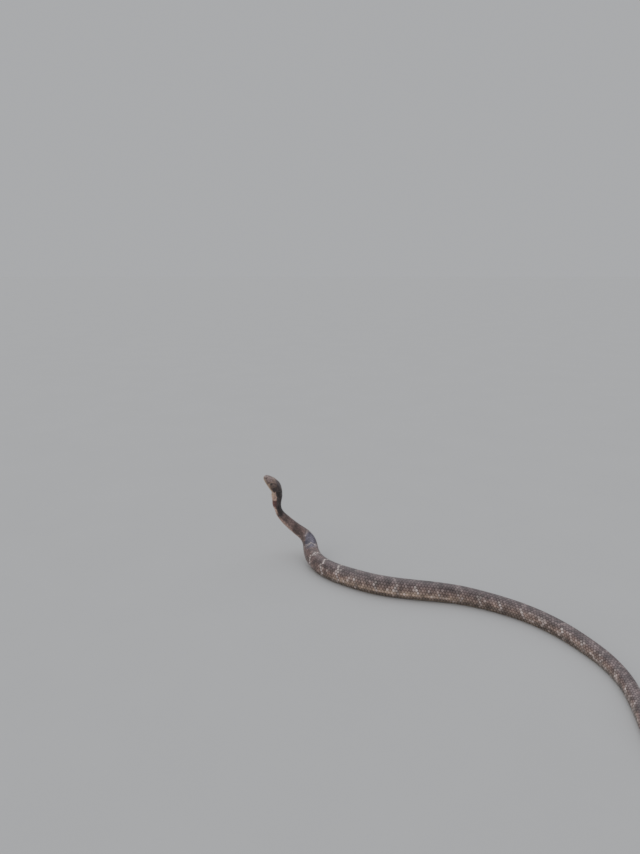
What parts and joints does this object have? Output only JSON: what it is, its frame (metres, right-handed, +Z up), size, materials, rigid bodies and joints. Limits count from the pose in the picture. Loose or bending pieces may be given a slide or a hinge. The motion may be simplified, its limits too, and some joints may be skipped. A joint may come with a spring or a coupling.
{
  "type": "king cobra",
  "caption": "Life-size king cobra lying in open curves on the floor, its neck and head raised, with shielded head, scuted belly and tapering tail.",
  "frame": {"origin": "on the floor, under the middle of the bounding box", "axes": "+Z up, +X from the raised head's end towards the tail's end, +Y away from the side the picture is taken from"},
  "size_m": [1.4768, 1.1083, 0.298],
  "materials": {
    "head_shields": "satin",
    "throat": "satin",
    "body_scales": "satin",
    "tail_scales": "satin",
    "eye": "gloss"
  },
  "bodies": {
    "root": {"head": "head_shields", "lower_jaw": "throat", "eye_left": "eye", "eye_right": "eye", "neck_upper": "body_scales", "neck_lower": "body_scales", "body_1": "body_scales", "body_2": "body_scales", "body_3": "body_scales", "body_4": "body_scales", "body_5": "body_scales", "body_6": "body_scales", "body_7": "body_scales", "body_8": "body_scales", "tail_1": "tail_scales", "tail_2": "tail_scales", "tail_tip": "tail_scales"}
  },
  "joints": []
}
